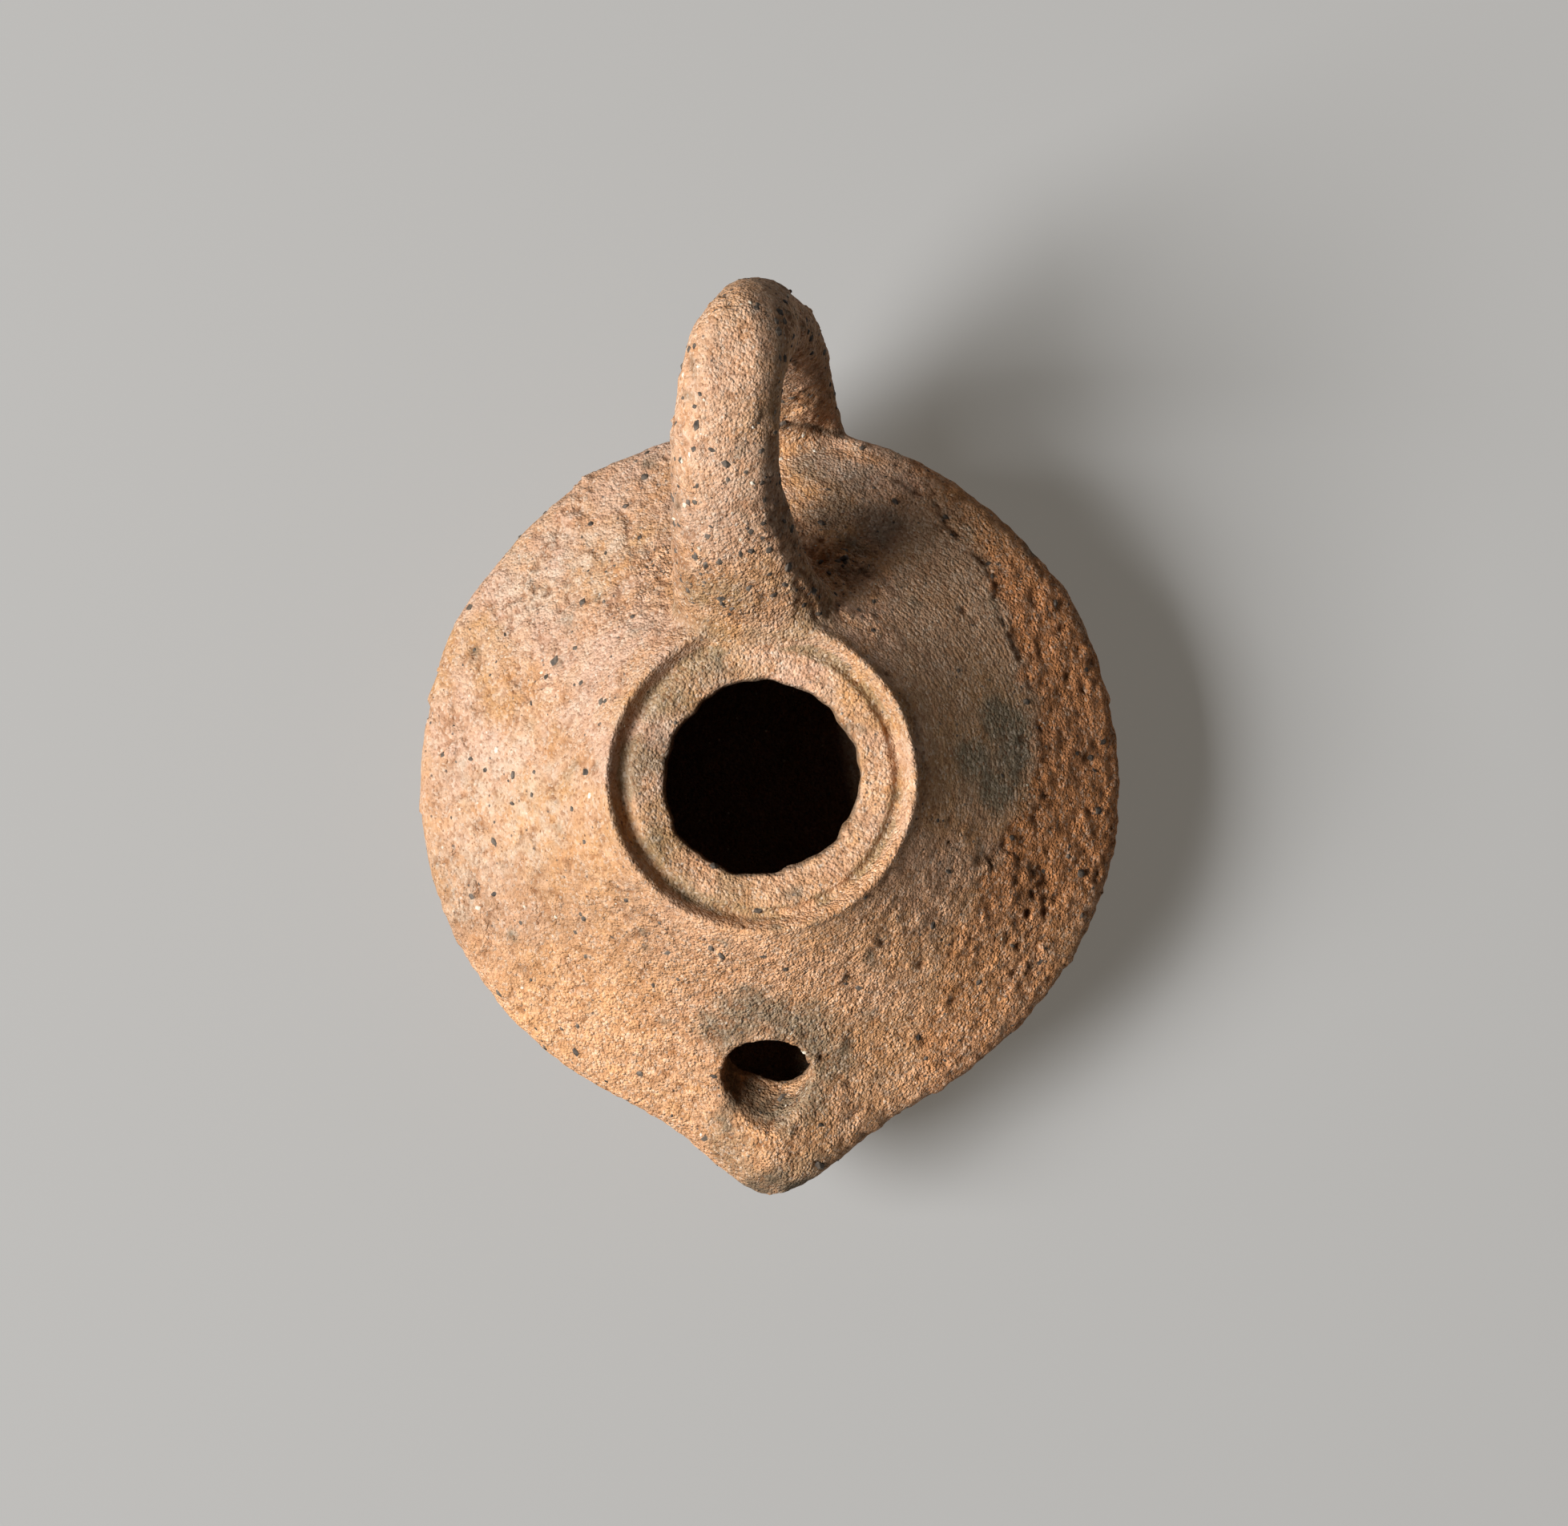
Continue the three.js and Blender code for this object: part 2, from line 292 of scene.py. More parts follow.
def stroke(line):
    """Each point's distance in mm from a line of pixels, and -1 or 1 for its left or right side."""
    distance, side = np.full(len(photo_x), 1e9), np.zeros(len(photo_x))
    for (from_x, from_y), (to_x, to_y) in zip(line, line[1:]):
        run_x, run_y = to_x - from_x, to_y - from_y
        share = ((photo_x - from_x) * run_x + (photo_y - from_y) * run_y) / (run_x**2 + run_y**2)
        share = np.clip(share, 0, 1)
        off_x, off_y = photo_x - from_x - share * run_x, photo_y - from_y - share * run_y
        away = np.hypot(off_x, off_y)
        side = np.where(away < distance, np.sign(off_x * run_y - off_y * run_x), side)
        distance = np.minimum(distance, away)
    return distance / PIXELS_PER_MM, side


print("near side of the rim", on_lamp(945, 1110).round(1))

# %% [markdown]
# ## Where a hand pressed the clay
# The solid is even where the real lamp is not. A press moves the skin in or out round a pixel
# of the photograph, and a grab drags it along, as a thumb would. They shape the crown of the
# handle, blunt the tip of the nozzle and run the bed of the wick on into the hole.

# %% Presses and grabs
PRESSES = [  # pixel x, pixel y, reach in mm, how far out in mm
    (887, 374, 3.5, -0.7), (846, 466, 4.5, -0.3), (915, 362, 3.0, -0.2), (1013, 388, 4.0, -1.0),
    (912, 1466, 4.0, 0.1), (1002, 1470, 4.5, 0.25), (1024, 1450, 5.0, 0.25), (1048, 1434, 5.0, 0.2),
    (1085, 1408, 5.0, 0.3), (1170, 1372, 5.0, 0.4), (958, 1488, 4.0, -0.6), (976, 1364, 2.6, -0.3),
    (942, 1342, 2.2, -0.9), (955, 1362, 2.5, -0.4), (700, 622, 7.0, 0.2), (742, 589, 3.0, 0.3),
    (600, 800, 8.0, 0.2), (545, 770, 7.0, 0.4), (1352, 745, 8.0, 0.3),
]
GRABS = [  # pixel x, pixel y, reach in mm, the way dragged in mm
    (950, 1364, 4.0, (0.0, 1.8, -1.1)), (984, 1352, 3.0, (-0.2, 1.0, -0.6)),
    (925, 376, 7.0, (0.0, 0.4, 2.3)),
]
HANDLE_RIDGE = [(948, 500), (951, 550), (951, 600), (957, 650), (975, 700), (998, 735)]
HANDLE_FLANK = [(968, 580), (970, 610), (976, 650), (992, 700)]

push = np.zeros(len(photo_x))
for pixel_x, pixel_y, reach, amount in PRESSES:
    push += amount * near(on_lamp(pixel_x, pixel_y), 2 * reach)
ridge, _ = stroke(HANDLE_RIDGE)
flank, _ = stroke(HANDLE_FLANK)
# The front of the handle has a blunt ridge, and a hollow runs along the right of it.
push += (0.26 * np.exp(-((ridge / 2.2) ** 2)) - 0.25 * np.exp(-((flank / 1.0) ** 2))) * handle * (z > 32)
# A crease runs under the foot of the handle, where it was pressed against the body.
crease = np.exp(-(((y - 39.6) ** 2 + (z - 20.0) ** 2) / 1.9**2)) * (1 - smooth_step(np.abs(x - 2), 6, 9))
push -= 0.9 * crease
skin.points += skin.normals() * push[:, None]
for pixel_x, pixel_y, reach, way in GRABS:
    place = on_lamp(pixel_x, pixel_y)
    skin.points += np.array(way) * near(place, 2 * reach)[:, None]
photo_x, photo_y = photo_places()
print("pressed by", push.min().round(2), "to", push.max().round(2), "mm")

# %% [markdown]
# ## The weathered relief
# The photograph's low light from the left draws every grain. Four things make that relief: the
# slow waves of hand-made clay, the coarse fabric, flakes that left short curved scarps, and
# pits where grit fell out. The waves and the fabric are noise at their real sizes. Scarps and
# pits are single events, so they are scattered one by one with a fixed seed.

# %% Noise at real sizes
def grain(size, shift=0.0):
    """Noise between about -1 and 1 whose bumps are this many millimetres wide."""
    places = (skin.points / size + shift).tolist()
    return np.fromiter((noise.noise(p) for p in places), float, len(places))


def cloud(size, shift=0.0):
    return (grain(size, shift) + 0.5 * grain(size / 2, shift + 7) + 0.25 * grain(size / 4, shift + 13)) / 1.4


x, y, z = skin.points.T
radius = np.hypot(x, y)
upper = smooth_step(z, EQUATOR_HEIGHT - 3, EQUATOR_HEIGHT + 1)
body = (1 - handle) * ~inner
# The outer part of the right shoulder has lost its skin, out from a ragged line of pixels.
EDGE_Y = (560, 640, 700, 760, 815, 880, 1000, 1080, 1180, 1300)
EDGE_X = (1120, 1190, 1225, 1250, 1266, 1290, 1288, 1236, 1180, 1150)
beyond_edge = (photo_x - np.interp(photo_y, EDGE_Y, EDGE_X)) / PIXELS_PER_MM
raw = smooth_step(beyond_edge + 3 * cloud(4, 3), -0.6, 1.2) * body * smooth_step(z, 4, 9) * (x > 0)
raw *= (1 - 0.55 * smooth_step(photo_y, 1060, 1200)) * (0.5 + 0.5 * smooth_step(photo_y, 620, 740))
# Its outermost strip kept some skin, most of all towards the back.
beyond_strip = beyond_edge - 6 - 6 * smooth_step(photo_y, 740, 860) + 3 * cloud(4, 33)
raw *= 1 - 0.65 * smooth_step(beyond_strip, 0, 2)
# Inside that line a wet hand left the skin smooth, with fine lines round the axis.
wiped = smooth_step(photo_x, 1090, 1140)
wiped = wiped * (1 - smooth_step(photo_y + 60 * cloud(5, 8), 940, 1080)) * (1 - raw)
wiped *= body * smooth_step(photo_y, 600, 660) * (x > 8) * (1 - collar)
lower = smooth_step(photo_y, 1030, 1160) * body * (1 - collar)
# How coarse the fabric is: most where the skin is lost, on the handle and low on the body.
coarse = 0.62 + 0.3 * cloud(16, 40) + 0.6 * raw - 0.22 * wiped + 0.6 * handle + 0.55 * lower
coarse += 0.05 * collar
coarse -= 0.3 * smooth_step(-x, 5, 20) * (1 - handle)
coarse -= 0.6 * smooth_step(z, *CROWN)
coarse = np.clip(coarse, 0.2, 1.6)

relief = 0.14 * grain(15, 1) + 0.09 * grain(6, 2) + 0.1 * handle * grain(4, 6)
relief += coarse * (0.1 * grain(2.6, 3) + 0.13 * grain(1.3, 4) + 0.1 * grain(0.8, 5))
relief += raw * (0.13 * grain(1.1, 31) + 0.04 - 0.13 * smooth_step(cloud(3.6, 21), -0.05, 0.2))
# The edge of the filling hole is chipped.
relief += np.exp(-(((radius - 10.9) / 1.3) ** 2)) * (z > NECK_HEIGHT) * 0.24 * grain(3.4, 9)
print("coarse fabric", coarse.mean().round(2), "raw", int((raw > 0.5).sum()))

# %% Scarps and pits
rng = np.random.default_rng(7)
skin_finder = kdtree.KDTree(len(skin.points))
for index, place in enumerate(skin.points):
    skin_finder.insert(place, index)
skin_finder.balance()
skin_normals = skin.normals()


def points_near(place, reach):
    found = skin_finder.find_range(Vector(place), reach)
    indices = np.fromiter((f[1] for f in found), int, len(found))
    return indices, skin.points[indices] - place


def scarp(place, heading, length, drop, fade):
    """Lifts the skin towards a short curved edge and drops it beyond: the trace of a lost flake."""
    indices, offset = points_near(place, 1.6 * max(length, fade))
    if not len(indices):
        return
    normal = skin_normals[indices[0]]
    side = np.cross(normal, heading)
    side /= np.linalg.norm(side) + 1e-9
    ahead = np.cross(side, normal)
    along = offset @ side
    beyond = offset @ ahead + along**2 / (1.4 * length) + 0.25 * relief[indices] / 0.15
    height = np.where(beyond < 0, np.exp(beyond / fade), np.exp(-beyond / 0.18) * 2 - 1)
    relief[indices] += drop * np.clip(height, -0.35, 1) * np.exp(-((along / length) ** 2) * 2)


def pit(place, size, depth):
    indices, offset = points_near(place, size * 1.3)
    away = np.linalg.norm(offset, axis=1) / size + 0.6 * relief[indices]
    relief[indices] -= depth * (1 - smooth_step(away, 0.35, 1))


outer_points = np.flatnonzero(~inner)


def scatter(count, likelihood):
    weights = likelihood[outer_points]
    return rng.choice(outer_points, count, replace=False, p=weights / weights.sum())


left_flakes = smooth_step(-x, 0, 12) * upper * smooth_step(y, -22, 2) + 0.15 + 0.3 * handle
for index in scatter(420, left_flakes * (1 - collar) * (1 - wiped)):
    heading = rng.normal(size=3)
    scarp(skin.points[index], heading, rng.uniform(0.7, 2.3), rng.uniform(0.16, 0.42), rng.uniform(0.5, 1.1))
for index in scatter(450, coarse**2):
    pit(skin.points[index], rng.uniform(0.35, 0.8), rng.uniform(0.08, 0.26))
print("relief from", relief.min().round(2), "to", relief.max().round(2), "mm")

# %% Marks that the photograph shows in one place
# Each scarp drops on the right of its line of pixels: drop and reach are in millimetres.
SCARPS = [
    ([(1180, 668), (1212, 690), (1228, 704), (1240, 745), (1250, 775), (1266, 812)], 0.34, 2.4),
    ([(1232, 1080), (1262, 1066), (1290, 1090), (1300, 1130)], 0.3, 2.0),
    ([(1122, 604), (1160, 628), (1186, 660)], 0.25, 1.6),
    ([(742, 590), (720, 612), (700, 640)], 0.25, 1.8),
    ([(692, 662), (682, 680), (666, 704)], 0.4, 1.6),
    ([(676, 724), (678, 734), (670, 746)], 0.4, 1.2),
    ([(704, 732), (702, 742), (696, 752)], 0.45, 1.2),
    ([(776, 648), (782, 660), (780, 672)], 0.4, 1.2),
    ([(752, 690), (757, 696), (753, 702)], 0.4, 1.0),
    ([(634, 788), (633, 800), (628, 810)], 0.35, 1.4),
    ([(608, 850), (598, 862), (588, 872)], 0.35, 1.4),
    ([(642, 830), (640, 840), (636, 846)], 0.35, 1.0),
    ([(668, 1120), (676, 1130), (672, 1142)], 0.35, 1.2),
    ([(706, 1208), (712, 1218), (708, 1230)], 0.3, 1.2),
    ([(962, 1410), (975, 1400), (990, 1412), (986, 1432)], 0.35, 1.6),
]
SMEARS = [
    [(1002, 684), (1028, 708), (1052, 744)], [(1008, 700), (1030, 722), (1050, 758)],
    [(1000, 712), (1022, 736), (1036, 766)], [(1014, 688), (1042, 708), (1062, 732)],
    [(994, 726), (1012, 748), (1020, 772)],
]
LOWER_PITS = [
    (1292, 1118), (1306, 1136), (1298, 1158), (1284, 1140), (1318, 1122), (1270, 1180), (1258, 1168),
]
CONTACT = [(970, 531), (1010, 533), (1050, 542)]
# Noise makes each scarp wander and leaves it out here and there.
wander = 0.9 * grain(1.6, 17) + 0.4 * grain(0.7, 18)
unbroken = smooth_step(cloud(2.2, 26), -0.5, 0.15)
for line, drop, reach in SCARPS:
    distance, side = stroke(line)
    distance += wander
    fall = np.where(side > 0, 1, 0) * smooth_step(distance, -0.2, 0.4)
    fall = fall * (1 - smooth_step(distance, 0.4, reach))
    relief -= drop * fall * body * upper * unbroken
# A thin groove runs where the handle's back limb meets the body, and the same line is painted dark as the
# shadow under the limb.
contact, _ = stroke(CONTACT)
contact = np.exp(-((contact / 0.45) ** 2)) * (y > 36) * (z > 14) * (z < 30)
relief -= 0.25 * contact
for line in SMEARS:
    distance, _ = stroke(line)
    relief -= 0.22 * np.exp(-((distance / 0.4) ** 2)) * (1 - inner) * (z > 26)
for pixel_x, pixel_y in LOWER_PITS:
    pit(on_lamp(pixel_x, pixel_y), rng.uniform(0.6, 1.1), rng.uniform(0.25, 0.45))

# %% Move the skin
ease = np.where(inner, 0.45, 1.0)
on_base = (z < 0.6) & (skin_normals[:, 2] < -0.8)
relief = np.where(on_base, np.minimum(relief, 0), relief) * ease
skin.points += skin_normals * relief[:, None]
low, high = np.array(cad_low) / MM, np.array(cad_high) / MM
skin.points = np.clip(skin.points, low, high)
skin.write()
print("moved by", np.abs(relief).mean().round(3), "mm on average")

# %% [markdown]
# ## What the colour follows
# Stains follow places. Painted shade follows hollows, creases and the sides turned from the light. Each is
# kept as an attribute on the skin's points, so that the material can read it and it stays on the piece
# wherever it is seen from.

# %% Stains as attributes
def keep(name, values):
    attribute = lamp.data.attributes.new(name, "FLOAT", "POINT")
    attribute.data.foreach_set("value", np.clip(values, 0, 1))


ragged = 0.5 * cloud(3.5, 60)


def stain(pixels, reach):
    """A soft patch round some pixels of the photograph, with a ragged edge."""
    spread = np.zeros(len(skin.points))
    for pixel_x, pixel_y in pixels:
        away = np.linalg.norm(skin.points - on_lamp(pixel_x, pixel_y), axis=1) / reach
        spread = np.maximum(spread, 1 - away)
    return smooth_step(spread + ragged, 0.15, 0.75)


PALE_PATCHES = [
    (632, 975), (640, 1030), (610, 985), (585, 1100), (668, 1015), (660, 740), (700, 700), (745, 690),
]
WICK_SOOT = [(930, 1285), (975, 1285), (1000, 1300), (950, 1262), (912, 1300)]
TROUGH_SOOT = [
    (940, 1360), (960, 1378), (930, 1345), (975, 1358), (945, 1385), (912, 1345), (918, 1368), (990, 1346),
]
# A grey-brown stain on the back shoulder; where the handle's shadow falls, the same places also carry painted
# shadow.
BACK_STAIN_AND_SHADOW = [(1040, 640), (1065, 600), (1020, 580), (1050, 690), (1090, 650)]
# Soot on the nozzle's tip, painted darker along its lower edge as the shade of its turn-down.
TIP_SOOT_AND_SHADE = [
    (930, 1486), (956, 1492), (976, 1490), (985, 1484), (1005, 1475), (1020, 1462), (940, 1482), (962, 1470),
]
WICK_GREY = [
    (898, 1290), (925, 1268), (960, 1262), (995, 1276), (1022, 1300), (1038, 1325), (1000, 1375), (985, 1385),
]
TIP_GREY = [(925, 1462), (950, 1478), (905, 1430), (1010, 1456), (980, 1470)]
GREEN_GREY = [(1258, 905), (1262, 950), (1240, 985), (1268, 930), (1245, 900), (1215, 950)]
groove = (np.abs(radius - 15.6) < 1.3) & (z > 35.4) & (z < 37.3)
root = smooth_step(photo_y, 700, 745) * (1 - smooth_step(photo_y, 790, 812))
root = root * (np.abs(x + 1) < 9) * (z > NECK_HEIGHT)
# The flat rim's left side lies in the lip's shadow: it gets a browner earth, also painted darker as that
# shade.
rim = (radius > HOLE_RADIUS) * (radius < 15) * (z > 34) * smooth_step(-x, -5, 7)
keep("pale", 0.4 * stain(PALE_PATCHES, 9.0) * (1 - handle) + 0.06 * handle + 0.1 * smooth_step(z, *CROWN))
soot_and_shade = 0.35 * stain(WICK_SOOT, 4.0) + 0.85 * stain(TROUGH_SOOT, 3.5)
# Besides the soot at the wick, this mask holds painted shade: the dark line under the handle's back limb and
# the tip's lower edge.
keep("soot_and_shade", soot_and_shade + 0.8 * stain(TIP_SOOT_AND_SHADE, 2.8) + 0.8 * contact)
green = stain(GREEN_GREY, 4.5) + 0.1 * wiped + 0.55 * stain(BACK_STAIN_AND_SHADOW, 5.0) * (1 - handle)
keep("green", green + 0.9 * stain(WICK_GREY, 5.0) + 0.6 * stain(TIP_GREY, 5.0))
keep("earth_and_shade", (1.4 * groove + 0.8 * root + 0.9 * rim) * smooth_step(cloud(4, 80), -0.45, 0.35))
keep("raw", raw)
keep("rough", coarse / 1.6)
keep("warm", smooth_step(photo_y, 940, 1200) * (1 - handle) + 0.6 * raw + 0.5 * handle)
keep("wiped", wiped)
# Painted shade, multiplied into the colour: it darkens the lit left shoulder in patches, as a softer light
# would, and paints shade on the back in the handle's shadow, on the collar's right and on the handle's front
# limb. A light even share darkens all but the raw and wiped skin.
painted_shade = 0.85 + 0.35 * smooth_step(-x, 22, 36) + 0.25 * smooth_step(y, 10, 22)
painted_shade = smooth_step(-x, 0, 14) * painted_shade * smooth_step(y, -28, -12)
painted_shade = painted_shade * (1 - handle) * upper * (1 + 0.8 * cloud(6, 92)) + 0.7 * stain(BACK_STAIN_AND_SHADOW, 6.0) * (1 - handle)
front_limb = handle * (1 - smooth_step(photo_x, 975, 1000))
painted_shade += front_limb * (0.25 + 0.75 * smooth_step(-photo_y, -700, -640) - 0.5 * smooth_step(z, 47, 52))
painted_shade += 0.24 * (1 - raw) * (1 - wiped) + 0.3 * collar * smooth_step(x, -6, 6)
keep("painted_shade", painted_shade)
keep("inner", inner.astype(float))
# Painted shade: the colour darkens in the relief's pits, scarps and hollows and in the crease under the
# handle's foot, where shade falls.
above_neighbours = relief - skin.neighbours_mean(skin.neighbours_mean(relief))
keep("hollow_shade", smooth_step(-above_neighbours, 0.0, 0.06) + 0.4 * crease)
clear = ((skin.points > low + 0.6) & (skin.points < high - 0.6)).all(axis=1) & ~inner
grit = clear * (1 - 0.8 * collar) * (0.2 + 0.8 * handle * (z > 20))
keep("grit", grit * (1 - 0.6 * wiped) * (0.25 + 0.75 * upper))
print("attributes", [a.name for a in lamp.data.attributes if a.data_type == "FLOAT"])

# %% [markdown]
# ## Fewer triangles where nobody looks
# A piece has to stay under 200,000 triangles. The inside and the underside are plain, so the decimate
# modifier thins them there. A last light pass over the whole keeps it under 186,000 triangles.

# %% Thin the hidden sides
TRIANGLE_LIMIT = 186_000
WICK_HOLE = np.array((-0.2, -34.5, 25.0))


def triangle_count(piece):
    return sum(len(p.vertices) - 2 for p in piece.data.polygons)


def thin(choose, share):
    """Collapses the net where choose says so, until this share of its triangles is left."""
    points = np.empty(len(lamp.data.vertices) * 3)
    lamp.data.vertices.foreach_get("co", points)
    points = points.reshape(-1, 3) / MM
    is_inner = np.empty(len(points))
    lamp.data.attributes["inner"].data.foreach_get("value", is_inner)
    chosen = choose(points, is_inner > 0.5)
    group = lamp.vertex_groups.new(name="thin")
    group.add(np.flatnonzero(chosen).tolist(), 1.0, "REPLACE")
    decimate = lamp.modifiers.new("decimate", "DECIMATE")
    decimate.ratio = 1 - chosen.mean() * (1 - share)
    decimate.vertex_group = group.name
    bake_modifiers(lamp)
    lamp.vertex_groups.clear()
    print("thinned to", triangle_count(lamp))


def deep_inside(points, is_inner):
    return is_inner & (points[:, 2] < 32) & (np.linalg.norm(points - WICK_HOLE, axis=1) > 10)


def underside(points, is_inner):
    return ~is_inner & (points[:, 2] < 12)


thin(deep_inside, 0.08)
thin(underside, 0.3)
thin(lambda points, is_inner: np.ones(len(points), bool), min(1, TRIANGLE_LIMIT / triangle_count(lamp)))
lamp.data.shade_smooth()

# %% [markdown]
# ## The fired clay
# Low-fired clay with coarse temper: matt, with no glaze, a roughness near one and the IOR of
# quartz and clay minerals, about 1.55. Its colour is never even. Iron in it fires peach where
# the air reached it and more orange below the worn skin. Grains of dark and white grit show
# as specks. Each pattern's scale is the real size in millimetres.

# %% Colours and a helper for nodes
def linear(hex_colour):
    """An sRGB hex colour as the linear values that nodes expect."""
    channels = [int(hex_colour[i : i + 2], 16) / 255 for i in (1, 3, 5)]
    return tuple(c / 12.92 if c <= 0.04045 else ((c + 0.055) / 1.055) ** 2.4 for c in channels) + (1.0,)


def add(tree, kind, links=None, values=None, **settings):
    """Adds a node: settings are its properties, values its sockets, links where they come from."""
    node = tree.nodes.new(kind)
    for name, value in settings.items():
        setattr(node, name, value)
    for socket, value in (values or {}).items():
        node.inputs[socket].default_value = value
    for socket, source in (links or {}).items():
        tree.links.new(source, node.inputs[socket])
    return node


def blank_material(name):
    material = bpy.data.materials.new(name)
    material.use_nodes = True
    material.node_tree.nodes.clear()
    return material


def per_mm(size):
    """The scale that makes a texture's cells this many millimetres wide in Object coordinates."""
    return 1 / (size * MM)


# %% Terracotta
def make_terracotta():
    material = blank_material("weathered_terracotta")
    tree = material.node_tree
    where = add(tree, "ShaderNodeTexCoord").outputs["Object"]

    def cells(size, detail=3.0, rough=0.6):
        made = add(
            tree,
            "ShaderNodeTexNoise",
            {"Vector": where},
            {"Scale": per_mm(size), "Detail": detail, "Roughness": rough},
        )
        return made.outputs["Fac"]

    def ranged(source, low, high, to_low=0.0, to_high=1.0):
        made = add(
            tree,
            "ShaderNodeMapRange",
            {"Value": source},
            {"From Min": low, "From Max": high, "To Min": to_low, "To Max": to_high},
        )
        return made.outputs["Result"]

    def mix(factor, under, over, blend="MIX"):
        made = add(tree, "ShaderNodeMix", data_type="RGBA", blend_type=blend)
        for socket, value in (("Factor_Float", factor), ("A_Color", under), ("B_Color", over)):
            target = next(i for i in made.inputs if i.identifier == socket)
            if isinstance(value, (float, tuple)):
                target.default_value = value
            else:
                tree.links.new(value, target)
        return next(o for o in made.outputs if o.identifier == "Result_Color")

    def times(first, second):
        made = add(tree, "ShaderNodeMath", {0: first}, operation="MULTIPLY")
        if isinstance(second, float):
            made.inputs[1].default_value = second
        else:
            tree.links.new(second, made.inputs[1])
        return made.outputs[0]

    def mask(name):
        return add(tree, "ShaderNodeAttribute", attribute_name=name).outputs["Fac"]

    fabric = cells(1.9, 6.0, 0.7)
    fine = cells(0.3, 3.0, 0.7)
    sand = add(tree, "ShaderNodeTexVoronoi", {"Vector": where}, {"Scale": per_mm(0.33)})
    lumps = add(tree, "ShaderNodeTexVoronoi", {"Vector": where}, {"Scale": per_mm(0.8)})
    tone = add(tree, "ShaderNodeSeparateColor", {"Color": sand.outputs["Color"]}).outputs["Green"]
    colour = mix(ranged(cells(13.0), 0.42, 0.58), linear("#E8B999"), linear("#E0A872"))
    colour = mix(ranged(cells(5.0), 0.45, 0.65, 0.0, 0.6), colour, linear("#DC9C66"))
    colour = mix(ranged(cells(2.4), 0.42, 0.7, 0.0, 0.7), colour, linear("#EFC6A4"))
    colour = mix(times(mask("warm"), 0.65), colour, linear("#EDB07C"))
    colour = mix(times(ranged(cells(1.1), 0.5, 0.7), mask("rough")), colour, linear("#C98E58"))
    colour = mix(times(mask("raw"), 0.7), colour, linear("#E08E4E"))
    colour = mix(times(mask("wiped"), 0.6), colour, linear("#B08A66"))
    colour = mix(times(mask("pale"), ranged(cells(1.6), 0.4, 0.6)), colour, linear("#F0DCC0"))
    # Earth in the groove and at the handle's root; on the rim's left the same colour is also painted shade.
    colour = mix(times(mask("earth_and_shade"), 0.65), colour, linear("#93805A"))
    colour = mix(times(mask("green"), 0.78), colour, linear("#7E7863"))
    # Painted shade in the hollows and the crease.
    colour = mix(times(mask("hollow_shade"), 0.5), colour, linear("#925A30"))
    # Painted shade: darker orange-brown where the fabric noise, which also drives the bump, is low.
    colour = mix(times(ranged(fabric, 0.45, 0.3), mask("rough")), colour, linear("#A0632F"))
    colour = mix(ranged(tone, 0.7, 1.0, 0.0, 0.45), colour, linear("#F6DDC2"))
    colour = mix(ranged(tone, 0.3, 0.0, 0.0, 0.5), colour, linear("#96603A"))
    # Painted shade: a cool grey multiplied in darkens the lit left shoulder and the shaded sides.
    colour = mix(mask("painted_shade"), colour, linear("#DADDE2"), "MULTIPLY")
    # Soot near the wick, with painted shade under the handle's back limb and at the tip.
    colour = mix(times(mask("soot_and_shade"), ranged(cells(1.2), 0.3, 0.55, 0.5, 1.0)), colour, linear("#5E5341"))
    colour = mix(times(mask("inner"), 0.7), colour, linear("#54422F"))

    def specks(cell, share, size, tint, strength):
        found = add(
            tree, "ShaderNodeTexVoronoi", {"Vector": where}, {"Scale": per_mm(cell), "Randomness": 1.0}
        )
        spot = ranged(found.outputs["Distance"], size, size * 0.7)
        picked = add(tree, "ShaderNodeSeparateColor", {"Color": found.outputs["Color"]})
        chosen = ranged(picked.outputs["Red"], share, share - 0.02)
        return mix(times(times(spot, chosen), strength), colour, linear(tint))

    colour = specks(0.9, 0.14, 0.22, "#5B534C", 0.8)
    colour = specks(1.1, 0.12, 0.16, "#E6DCCB", 0.55)
    colour = specks(0.6, 0.16, 0.26, "#80522F", 0.7)

    # A wave texture has twenty radians to the unit, so tau over twenty turns a width into a scale.
    rings = add(
        tree,
        "ShaderNodeTexWave",
        {"Vector": where},
        {"Scale": math.tau * per_mm(0.5) / 20, "Distortion": 3.0, "Detail": 2.0, "Detail Scale": 2.0},
        wave_type="RINGS",
        rings_direction="Z",
    )
    lines = times(times(rings.outputs["Fac"], mask("wiped")), ranged(cells(2.5), 0.42, 0.6, 0.02, 0.14))
    height = lines
    layers = (
        (ranged(fabric, 0.36, 0.53), 0.12),
        (fabric, 0.36),
        (fine, 0.16),
        (sand.outputs["Distance"], -0.25),
        (lumps.outputs["Distance"], -0.22),
    )
    for layer, weight in layers:
        height = add(tree, "ShaderNodeMath", {0: times(layer, weight), 1: height}, operation="ADD").outputs[0]
    bump = add(
        tree,
        "ShaderNodeBump",
        {"Height": height, "Distance": ranged(mask("rough"), 0.2, 1.0, 0.65 * MM, 2.0 * MM)},
        {"Strength": 1.0},
    )
    shader = add(
        tree,
        "ShaderNodeBsdfPrincipled",
        {"Base Color": colour, "Normal": bump.outputs["Normal"]},
        {"Roughness": 0.93, "IOR": 1.55, "Specular IOR Level": 0.25},
    )
    add(tree, "ShaderNodeOutputMaterial", {"Surface": shader.outputs["BSDF"]})
    return material


lamp.data.materials.clear()
lamp.data.materials.append(make_terracotta())
print("material", lamp.data.materials[0].name, len(lamp.data.materials[0].node_tree.nodes), "nodes")

# %% [markdown]
# ## Grit in the clay
# The potter mixed crushed dark rock and pale lime into the clay so that it would not crack in
# the fire. Where the skin wore away, the grains stand a little proud. Geometry Nodes scatters
# them on the lamp by the grit attribute: each is a small faceted pebble, turned at random and
# sunk to more than half, and the nodes' inputs set how many there are and how big.

